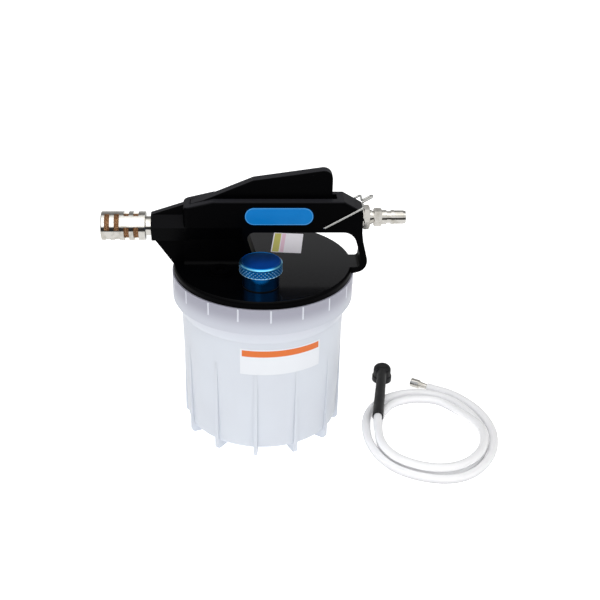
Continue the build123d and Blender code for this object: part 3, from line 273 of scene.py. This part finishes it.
front = -90          # the front of the jar, in degrees round from the X axis
collar_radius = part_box("tank_collar")[1][0]
rib_count, rib_width, rib_depth, rib_proud = 18, 1.6 * mm, 1.4 * mm, 0.3 * mm
rib_bottom, rib_top, rib_rounding, first_rib = 144.4 * mm, 156.4 * mm, 0.35 * mm, 4
ribs = bmesh.new()
for k in range(rib_count):
    turn = Matrix.Rotation(radians(front + first_rib + k * 360 / rib_count), 4, "Z")
    middle = Vector((collar_radius + rib_proud - rib_depth / 2, 0, (rib_bottom + rib_top) / 2))
    bmesh.ops.create_cube(ribs, size=1, matrix=turn @ Matrix.Translation(middle)
                          @ Matrix.Diagonal((rib_depth, rib_width, rib_top - rib_bottom, 1)))
bmesh.ops.bevel(ribs, geom=ribs.edges[:], offset=rib_rounding, offset_type="OFFSET", affect="EDGES",
                segments=2, profile=0.5, material=-1)
# Lighter than the collar: partly because thicker plastic is whiter, partly because the ribs leave out the
# collar's painted shade.
thick_unshaded_polypropylene, tree, shader, spot = material("natural polypropylene, thick", "#D4D7E0", 0.34, **moulded)
ripple = add(tree, "TexNoise", {"Vector": spot, "Scale": 1 / (5 * mm)})
plug(tree, shader, {"Normal": add(tree, "Bump", {"Height": ripple, "Distance": 0.05 * mm})})
piece("grip_ribs", ribs, "tank_set", thick_unshaded_polypropylene, smooth=50)


# ---------------------------------------------------------------- jar label
# Blank polypropylene film stuck round the wall, white with an orange band along its top.
def band(tree, value, rise, fall):
    """1 between two soft edges and 0 beyond; each edge is where it starts and where it is full."""
    edges = [add(tree, "MapRange", (value, *edge), **eased) for edge in (rise, fall)]
    return add(tree, "Math", edges, operation="MULTIPLY")


label_start, label_end, label_steps = radians(front - 16.4), radians(front + 42.4), 40
label_bottom, label_top = 88.2 * mm, 113.8 * mm
wall_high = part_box("tank")[1]
neck_radius, neck_height = wall_high[0], wall_high[2]
wall_slope = 3.4 / 112
film = 0.15 * mm
fin_radius = 72.6 * mm        # the tops of the foot fins run out under the label
touching = 1e-6
label = bmesh.new()
ends = []
for z in (label_bottom, (label_bottom + label_top) / 2, label_top):
    radius = max(neck_radius - (neck_height - z) * wall_slope, fin_radius) + film
    ends.append(label.verts.new((radius * cos(label_start), radius * sin(label_start), z)))
edges = [label.edges.new(pair) for pair in zip(ends, ends[1:])]
bmesh.ops.spin(label, geom=edges + ends, cent=(0, 0, 0), axis=(0, 0, 1), angle=label_end - label_start,
               steps=label_steps)
bmesh.ops.remove_doubles(label, verts=label.verts[:], dist=touching)
bmesh.ops.recalc_face_normals(label, faces=label.faces[:])
bmesh.ops.solidify(label, geom=label.faces[:], thickness=film)
film_white = "#E0E3E8"
label_film, tree, shader, spot = material("white printed film", film_white, 0.3, Coat_Weight=0.3,
                                          Coat_Roughness=0.15)
# The band stops about a degree short of each end, told by how far to the side a point is.
label_height = add(tree, "SeparateXYZ", [spot], "Z")
sideways = add(tree, "Math", (add(tree, "SeparateXYZ", [spot], "X"), neck_radius), operation="DIVIDE")
along_top = band(tree, label_height, (106.2 * mm, 106.4 * mm), (112.7 * mm, 112.5 * mm))
between_ends = band(tree, sideways, (-0.262, -0.258), (0.660, 0.656))
orange = add(tree, "Math", (along_top, between_ends), operation="MULTIPLY")
specks = add(tree, "TexNoise", {"Vector": spot, "Scale": 1 / (1.2 * mm)})
mottle = add(tree, "MapRange", (specks, 0.3, 0.7, 0.0, 0.15), **eased)
ink = add(tree, "Mix", {0: mottle, mix_a: linear("#DC6A12"), mix_b: linear("#CE5C0A")}, **colours)
printed = add(tree, "Mix", {0: orange, mix_a: linear(film_white), mix_b: ink}, **colours)
ripple = add(tree, "TexNoise", {"Vector": spot, "Scale": 1 / (8 * mm)})
relief = add(tree, "Bump", {"Height": ripple, "Distance": 0.05 * mm})
plug(tree, shader, {"Base Color": printed, "Normal": relief})
piece("jar_label", label, "tank_set", label_film, smooth=40)

# ---------------------------------------------------------------- lid, pump body and lever
# Glass-filled black nylon, moulded: the pump body and lever are spark-textured, so they are nearly matt,
# and the lid's plate is polished in the mould and mirrors what stands on it.
black = "#020203"
plate_level, plate_clear = 164.0 * mm, 164.6 * mm
black_nylon, tree, shader, spot = material("black nylon", black, 0.4, Specular_IOR_Level=0.04,
                                           Coat_Roughness=0.1, Coat_Tint=linear("#D3D8EC"))
part_height = add(tree, "SeparateXYZ", [spot], "Z")
upward = add(tree, "SeparateXYZ", [add(tree, "NewGeometry", output="Normal")], "Z")
# Painted highlight: above the lid, faces that look up are painted a little grey, standing in for the light
# they catch from overhead.
looks_up = add(tree, "MapRange", (upward, 0.6, 0.98), **eased)
above_lid = add(tree, "MapRange", (part_height, 180 * mm, 190 * mm), **eased)
bloom_and_painted_sheen = add(tree, "Math", (looks_up, above_lid), operation="MULTIPLY")
nylon_colour = add(tree, "Mix", {0: bloom_and_painted_sheen, mix_a: linear(black), mix_b: linear("#26262A")}, **colours)
level = add(tree, "MapRange", (upward, 0.9, 0.98), **eased)
on_plate = add(tree, "MapRange", (part_height, plate_clear, plate_level), **eased)
polished = add(tree, "Math", (level, on_plate), operation="MULTIPLY")
polish = add(tree, "Math", (polished, 0.5), operation="MULTIPLY")
sparks = add(tree, "TexNoise", {"Vector": spot, "Scale": 1 / (0.9 * mm)})
roughened = add(tree, "MapRange", (part_height, plate_level, plate_clear, 0.04, 1.0), **eased)
texture = add(tree, "Math", (sparks, roughened), operation="MULTIPLY")
relief = add(tree, "Bump", {"Height": texture, "Distance": 0.06 * mm})
plug(tree, shader, {"Base Color": nylon_colour, "Coat Weight": polish, "Normal": relief})
paint(black_nylon, "lid_handle", "lever", "pour_neck_nut", "port_insert")


# ---------------------------------------------------------------- lid label
# Blank paper sticker on the lid beside the hand hole: a yellow-green band down one side, then a pale pink
# one, printed on pale lilac.
def rounded_sheet(width, length, rounding):
    """A flat sheet round the origin, with rounded corners."""
    sheet = bmesh.new()
    bmesh.ops.create_grid(sheet, x_segments=1, y_segments=1, size=0.5,
                          matrix=Matrix.Diagonal((width, length, 1, 1)))
    bmesh.ops.bevel(sheet, geom=sheet.verts[:], offset=rounding, offset_type="OFFSET", affect="VERTICES",
                    segments=12, profile=0.5, material=-1)
    return sheet


def thicken(sheet, thickness):
    """Gives a flat sheet its thickness, upwards."""
    raised = bmesh.ops.extrude_face_region(sheet, geom=sheet.faces[:])["geom"]
    bmesh.ops.translate(sheet, vec=(0, 0, thickness),
                        verts=[v for v in raised if isinstance(v, bmesh.types.BMVert)])


sticker_width, sticker_length, sticker_rounding, sticker_film = 27.6 * mm, 41.5 * mm, 0.8 * mm, 0.12 * mm
sticker_turn = radians(-5.8)
lid_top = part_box("pour_neck_seal")[0][2]
sticker_place = Matrix.Translation((23.2 * mm, 37.2 * mm, lid_top)) @ Matrix.Rotation(sticker_turn, 4, "Z")
sticker = rounded_sheet(sticker_width, sticker_length, sticker_rounding)
thicken(sticker, sticker_film)
bmesh.ops.transform(sticker, matrix=sticker_place, verts=sticker.verts[:])
pale_lilac = "#FBF7FF"
sticker_paper, tree, shader, spot = material("glossy printed paper", pale_lilac, 0.35, Coat_Weight=0.4,
                                             Coat_Roughness=0.1)
centred = add(tree, "Mapping", {"Vector": spot, "Location": sticker_place.translation,
                                "Rotation": (0, 0, sticker_turn)}, vector_type="TEXTURE")
across = add(tree, "SeparateXYZ", [centred], "X")
along = add(tree, "SeparateXYZ", [centred], "Y")
between_ends = band(tree, along, (-19.9 * mm, -19.7 * mm), (19.9 * mm, 19.7 * mm))
sticker_colour = linear(pale_lilac)
for rise, fall, tint in (((-6.0 * mm, -5.6 * mm), (-2.0 * mm, -2.8 * mm), "#F2C9DE"),
                         ((-12.9 * mm, -12.7 * mm), (-6.6 * mm, -6.8 * mm), "#C4BE4C")):
    inked = add(tree, "Math", (band(tree, across, rise, fall), between_ends), operation="MULTIPLY")
    sticker_colour = add(tree, "Mix", {0: inked, mix_a: sticker_colour, mix_b: linear(tint)}, **colours)
ripple = add(tree, "TexNoise", {"Vector": spot, "Scale": 1 / (3 * mm)})
relief = add(tree, "Bump", {"Height": ripple, "Distance": 0.03 * mm})
plug(tree, shader, {"Base Color": sticker_colour, "Normal": relief})
piece("lid_label", sticker, "head", sticker_paper)

# ---------------------------------------------------------------- name plate
# Blank flat plate with round ends on the side of the pump body: blue, with a paler line round its edge.
plate_left, plate_right, plate_bottom, plate_top = -16.2 * mm, 43.3 * mm, 204.7 * mm, 220.8 * mm
body_side, plate_thickness = -13.0 * mm, 0.25 * mm
plate_width, plate_height = plate_right - plate_left, plate_top - plate_bottom
plate_middle = Vector(((plate_left + plate_right) / 2, body_side, (plate_bottom + plate_top) / 2))
plate_place = Matrix.Translation(plate_middle) @ Matrix.Rotation(radians(90), 4, "X")
roundness = 0.99          # just under a half circle, so that the two corners of an end stay apart
plate = rounded_sheet(plate_width, plate_height, plate_height / 2 * roundness)
thicken(plate, plate_thickness)
bmesh.ops.transform(plate, matrix=plate_place, verts=plate.verts[:])
blue_film, tree, shader, spot = material("blue enamel film", "#0070BC", 0.3, Specular_IOR_Level=0.1,
                                         Coat_Weight=0.05, Coat_Roughness=0.1)
uneven = add(tree, "TexNoise", {"Vector": spot, "Scale": 1 / (10 * mm)})
tone = add(tree, "MapRange", (uneven, 0.3, 0.7, 0.0, 0.3), **eased)
plate_colour = add(tree, "Mix", {0: tone, mix_a: linear("#0076C2"), mix_b: linear("#067FCC")}, **colours)
plug(tree, shader, {"Base Color": plate_colour})
piece("name_plate", plate, "head", blue_film)

line_width, line_inset, line_proud = 0.45 * mm, 0.7 * mm, 0.05 * mm
line_length, line_height = plate_width - line_inset, plate_height - line_inset
border = rounded_sheet(line_length, line_height, line_height / 2 * roundness)
bmesh.ops.inset_region(border, faces=border.faces[:], thickness=line_width, use_even_offset=True,
                       use_boundary=True)
bmesh.ops.delete(border, geom=[max(border.faces, key=lambda f: f.calc_area())], context="FACES")
bmesh.ops.translate(border, vec=(0, 0, plate_thickness), verts=border.verts[:])
thicken(border, line_proud)
bmesh.ops.transform(border, matrix=plate_place, verts=border.verts[:])
pale_film, tree, shader, spot = material("pale blue enamel film", "#8CC6EA", 0.3, Coat_Weight=0.4,
                                         Coat_Roughness=0.1)
uneven = add(tree, "TexNoise", {"Vector": spot, "Scale": 1 / (6 * mm)})
tone = add(tree, "MapRange", (uneven, 0.3, 0.7, 0.0, 0.3), **eased)
line_colour = add(tree, "Mix", {0: tone, mix_a: linear("#4C9CD6"), mix_b: linear("#58A6DE")}, **colours)
plug(tree, shader, {"Base Color": line_colour})
piece("name_plate_line", border, "head", pale_film)

# ---------------------------------------------------------------- pouring cap
# Turned aluminium, anodised blue: a diamond-knurled band to grip, under a turned chamfer painted pale as a
# highlight, and a flat top.  It screws on the pouring neck.
cap_low, cap_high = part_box("pour_cap")
cap_middle = Vector(((cap_low[0] + cap_high[0]) / 2, (cap_low[1] + cap_high[1]) / 2, 0))
cap_radius = (cap_high[0] - cap_low[0]) / 2
cap_foot, cap_crown = cap_low[2], cap_high[2]
cap_bore, cap_skin, top_sunk = 14.7 * mm, 2.2 * mm, 0.15 * mm
# The real knurl is 1 mm; this one is coarser, so that it shows.
knurl_columns, knurl_rows, knurl_pitch, knurl_depth = 68, 4, 1.6 * mm, 0.7 * mm
knurl_foot = cap_foot + 0.9 * mm
knurl_top = knurl_foot + knurl_rows * knurl_pitch
outline = [(cap_bore, cap_foot), (cap_radius - 0.6 * mm, cap_foot), (cap_radius, knurl_foot - 0.3 * mm)]
outline += [(cap_radius, knurl_foot + k * knurl_pitch) for k in range(knurl_rows + 1)]
# The chamfer and the rim of the top: millimetres in from the side and down from the crown.
chamfer_steps = [(0, 2.1), (0.15, 1.6), (1.5, 0.2), (1.9, 0), (2.3, 0), (2.6, 0.15)]
outline += [(cap_radius - inward * mm, cap_crown - drop * mm) for inward, drop in chamfer_steps]
outline.append((0, cap_crown - top_sunk))
cap = bmesh.new()
rim = [cap.verts.new((r, 0, z)) for r, z in outline]
inner = [cap.verts.new((cap_bore, 0, cap_crown - cap_skin)), cap.verts.new((0, 0, cap_crown - cap_skin))]
chain = list(reversed(inner)) + rim
edges = [cap.edges.new(pair) for pair in zip(chain, chain[1:])]
bmesh.ops.spin(cap, geom=edges + chain, cent=(0, 0, 0), axis=(0, 0, 1), angle=2 * pi, steps=knurl_columns,
               use_merge=True)
bmesh.ops.remove_doubles(cap, verts=cap.verts[:], dist=touching)
# Every second point of the band is pressed in, and an edge joins the two low corners of each square.
valleys = []
for point in cap.verts:
    row = (point.co.z - knurl_foot) / knurl_pitch
    reach = Vector((point.co.x, point.co.y, 0))
    if reach.length > cap_radius - 0.01 * mm and -0.1 < row < knurl_rows + 0.1:
        column = round(reach.xy.angle_signed(Vector((1, 0))) / (2 * pi / knurl_columns))
        if (column + round(row)) % 2:
            point.co -= reach.normalized() * knurl_depth
            valleys.append(point)
bmesh.ops.connect_verts(cap, verts=valleys)
bmesh.ops.translate(cap, vec=cap_middle, verts=cap.verts[:])

anodised, tree, shader, spot = material("blue anodised aluminium", "#0A5DA8", 0.3, Metallic=1.0)
cap_height = add(tree, "SeparateXYZ", [spot], "Z")
dye = add(tree, "TexNoise", {"Vector": spot, "Scale": 1 / (15 * mm), "Detail": 1.0})
dye_tone = add(tree, "MapRange", (dye, 0.3, 0.7), **eased)
# Painted highlight: the chamfer is painted pale cyan, standing in for the lamp it mirrors.
chamfer = band(tree, cap_height, (cap_crown - 1.7 * mm, cap_crown - 1.5 * mm),
               (cap_crown - 0.5 * mm, cap_crown - 0.8 * mm))
# The colour has worn off the points of the knurl.
from_middle = add(tree, "VectorMath", (spot, cap_middle), operation="SUBTRACT")
from_axis = add(tree, "VectorMath", (from_middle, (1, 1, 0)), operation="MULTIPLY")
distance = add(tree, "VectorMath", [from_axis], operation="LENGTH")
proud = add(tree, "MapRange", (distance, cap_radius - 0.4 * mm, cap_radius - 0.15 * mm), **eased)
on_knurl = add(tree, "MapRange", (cap_height, knurl_top + 0.2 * mm, knurl_top), **eased)
worn = add(tree, "Math", (proud, on_knurl), operation="MULTIPLY")
cap_colour = linear("#0A74BE")
for share, tint in ((dye_tone, "#0E7CCA"), (worn, "#A9D4EC"), (chamfer, "#7CCDF0")):
    cap_colour = add(tree, "Mix", {0: share, mix_a: cap_colour, mix_b: linear(tint)}, **colours)
cap_roughness = add(tree, "Math", (dye_tone, 0.04, 0.28), operation="MULTIPLY_ADD")
plug(tree, shader, {"Base Color": cap_colour, "Roughness": cap_roughness})
cap_piece = piece("knurled_cap", cap, "cap", anodised, smooth=7)
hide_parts("pour_cap")


# ---------------------------------------------------------------- pouring neck
# Turned and anodised as the cap is, with a fine thread above the shoulder that the cap hides.
def lathe_marks(tree, spot, axis_scale, size):
    """Noise drawn out round an axis, as a cutting tool leaves it."""
    drawn = add(tree, "Mapping", {"Vector": spot, "Scale": axis_scale})
    return add(tree, "TexNoise", {"Vector": drawn, "Scale": 1 / size})


thread_pitch, thread_depth = 1.5 * mm, 0.4 * mm
neck_blue, tree, shader, spot = material("blue anodised aluminium, threaded", "#0A5DA8", 0.24, Metallic=1.0)
neck_level = add(tree, "SeparateXYZ", [spot], "Z")
phase = add(tree, "Math", (neck_level, 2 * pi / thread_pitch), operation="MULTIPLY")
ridges = add(tree, "Math", [phase], operation="SINE")
under_cap = add(tree, "MapRange", (neck_level, cap_foot, cap_foot + 0.2 * mm), **eased)
thread = add(tree, "Math", (ridges, under_cap), operation="MULTIPLY")
tone = add(tree, "MapRange", (lathe_marks(tree, spot, (1, 1, 40), 12 * mm), 0.3, 0.7), **eased)
neck_colour = add(tree, "Mix", {0: tone, mix_a: linear("#06589E"), mix_b: linear("#0B70BC")}, **colours)
relief = add(tree, "Bump", {"Height": thread, "Distance": thread_depth})
plug(tree, shader, {"Base Color": neck_colour, "Normal": relief})
paint(neck_blue, "pour_neck")

# ---------------------------------------------------------------- muffler, inlet plug and hose fitting
# Brass turned on a lathe and plated with bright nickel: fine rings round each piece and soft smudges.
nickel, tree, shader, spot = material("nickel-plated brass", "#DAD7D0", 0.12, Metallic=1.0)
smudges = add(tree, "TexNoise", {"Vector": spot, "Scale": 1 / (7 * mm), "Detail": 3.0})
dulled = add(tree, "MapRange", (smudges, 0.4, 0.7), **eased)
nickel_colour = add(tree, "Mix", {0: dulled, mix_a: linear("#DEDBD5"), mix_b: linear("#C9C5BC")}, **colours)
nickel_roughness = add(tree, "MapRange", (smudges, 0.35, 0.7, 0.09, 0.2), **eased)
rings = lathe_marks(tree, spot, (30, 1, 1), 12 * mm)
relief = add(tree, "Bump", {"Height": rings, "Distance": 0.015 * mm})
plug(tree, shader, {"Base Color": nickel_colour, "Roughness": nickel_roughness, "Normal": relief})
paint(nickel, "hose_fitting", "inlet_plug", "inlet_bushing", "muffler_shell", "muffler_nipple",
      "bushing_washer")

# ---------------------------------------------------------------- muffler core
# Bronze powder pressed and sintered, seen through the shell's slots: matt, with pores between its grains.
bronze, tree, shader, spot = material("sintered bronze", "#A46F45", 0.6, Metallic=0.7)
grains = add(tree, "TexVoronoi", {"Vector": spot, "Scale": 1 / (0.7 * mm)})
# Painted shade: the pores between the grains are painted darker, for the shade that falls in them.
pores = add(tree, "MapRange", (grains, 0.1, 0.6), **eased)
bronze_colour = add(tree, "Mix", {0: pores, mix_a: linear("#E6B788"), mix_b: linear("#7C5334")}, **colours)
relief = add(tree, "Bump", {"Height": grains, "Distance": -0.25 * mm})
plug(tree, shader, {"Base Color": bronze_colour, "Normal": relief})
paint(bronze, "muffler_core")

# ---------------------------------------------------------------- lock bail and lever pin
# Bright drawn spring-steel wire, with faint lines along it from the die.
steel, tree, shader, spot = material("drawn spring steel", "#CFCFCC", 0.2, Metallic=1.0)
die_lines = lathe_marks(tree, spot, (1, 12, 12), 10 * mm)
steel_roughness = add(tree, "MapRange", (die_lines, 0.3, 0.7, 0.14, 0.3), **eased)
relief = add(tree, "Bump", {"Height": die_lines, "Distance": 0.01 * mm})
plug(tree, shader, {"Roughness": steel_roughness, "Normal": relief})
paint(steel, "lock_bail", "lever_pivot_pin")

# ---------------------------------------------------------------- valve spring
# Compression spring wound from the same steel wire.  It stands on the valve chamber's floor.  In the real
# pump it shortens as the stem pushes the poppet down on it; here it is made at its full length.
spring_low, spring_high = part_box("valve_spring")
spring_turns, spring_wire, steps_in_turn, wire_sides, valve_travel = 5, 0.8 * mm, 24, 10, 3.85 * mm
spring_radius = (spring_high[0] - spring_low[0] - spring_wire) / 2
spring_tall = spring_high[2] - spring_low[2]
spring_foot = Vector(((spring_low[0] + spring_high[0]) / 2, 0, spring_low[2] + spring_wire / 2))
rise = Vector((0, 0, (spring_tall - spring_wire) / (spring_turns * steps_in_turn)))
spring = bmesh.new()
wire_end = bmesh.ops.create_circle(spring, segments=wire_sides, radius=spring_wire / 2, cap_ends=False,
                                   matrix=Matrix.Translation(spring_foot + Vector((spring_radius, 0, 0)))
                                   @ Matrix.Rotation(radians(90), 4, "X"))["verts"]
bmesh.ops.spin(spring, geom=wire_end + spring.edges[:], cent=spring_foot, axis=(0, 0, 1), dvec=rise,
               angle=spring_turns * 2 * pi, steps=spring_turns * steps_in_turn)
bmesh.ops.holes_fill(spring, edges=[edge for edge in spring.edges if edge.is_boundary], sides=wire_sides)
spring_piece = piece("coil_spring", spring, "head", steel, smooth=50)
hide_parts("valve_spring")
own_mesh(spring_piece)

# ---------------------------------------------------------------- rubber
# Bleed adapter, seals and rings: nitrile rubber, moulded, with a dull bloom over a fine grain.
rubber, tree, shader, spot = material("nitrile rubber", "#0A0A0C", 0.45, Specular_IOR_Level=0.35)
smudges = add(tree, "TexNoise", {"Vector": spot, "Scale": 1 / (9 * mm), "Detail": 3.0})
bloom_and_painted_sheen = add(tree, "MapRange", (smudges, 0.4, 0.75), **eased)
rubber_colour = add(tree, "Mix", {0: bloom_and_painted_sheen, mix_a: linear("#08080A"), mix_b: linear("#121216")}, **colours)
rubber_roughness = add(tree, "MapRange", (smudges, 0.35, 0.7, 0.36, 0.52), **eased)
pebbles = add(tree, "TexNoise", {"Vector": spot, "Scale": 1 / (0.6 * mm)})
relief = add(tree, "Bump", {"Height": pebbles, "Distance": 0.04 * mm})
plug(tree, shader, {"Base Color": rubber_colour, "Roughness": rubber_roughness, "Normal": relief})
paint(rubber, "lid_gasket", "bleed_adapter", "stem_o_ring", "nozzle_o_ring", "port_o_ring", "suction_seat",
      "pour_neck_seal", "cap_seal", "poppet_washer")

# ---------------------------------------------------------------- valve and ejector brass
# Free-cutting brass, turned and left bare, so it is warm and a little dulled.
brass, tree, shader, spot = material("turned brass", "#C39B4B", 0.25, Metallic=1.0)
tarnish = add(tree, "TexNoise", {"Vector": spot, "Scale": 1 / (5 * mm), "Detail": 3.0})
dulled = add(tree, "MapRange", (tarnish, 0.35, 0.7), **eased)
brass_colour = add(tree, "Mix", {0: dulled, mix_a: linear("#C9A355"), mix_b: linear("#9C7836")}, **colours)
brass_roughness = add(tree, "MapRange", (tarnish, 0.35, 0.7, 0.2, 0.36), **eased)
rings = lathe_marks(tree, spot, (1, 1, 25), 10 * mm)
relief = add(tree, "Bump", {"Height": rings, "Distance": 0.015 * mm})
plug(tree, shader, {"Base Color": brass_colour, "Roughness": brass_roughness, "Normal": relief})
paint(brass, "valve_gland", "valve_seat", "valve_stem", "ejector_nozzle", "mixing_tube")

# ---------------------------------------------------------------- float and its cage
# White acetal, moulded: waxy, with a faint orange-peel.
acetal_white = "#E9E9E4"
acetal, tree, shader, spot = material("white acetal", acetal_white, 0.35, Subsurface_Weight=0.3,
                                      Subsurface_Scale=0.003, Subsurface_Radius=even_scatter)
flow = add(tree, "TexNoise", {"Vector": spot, "Scale": 1 / (12 * mm)})
tone = add(tree, "MapRange", (flow, 0.35, 0.65), **eased)
acetal_colour = add(tree, "Mix", {0: tone, mix_a: linear(acetal_white), mix_b: linear("#E1E1DA")}, **colours)
peel = add(tree, "TexNoise", {"Vector": spot, "Scale": 1 / (2.5 * mm)})
relief = add(tree, "Bump", {"Height": peel, "Distance": 0.05 * mm})
plug(tree, shader, {"Base Color": acetal_colour, "Normal": relief})
paint(acetal, "float_cage", "float_ball")

# ---------------------------------------------------------------- drop tube
# The tube that reaches down from the hose port, cut from the same soft PVC as the hose.
paint(milky_pvc, "drop_tube")
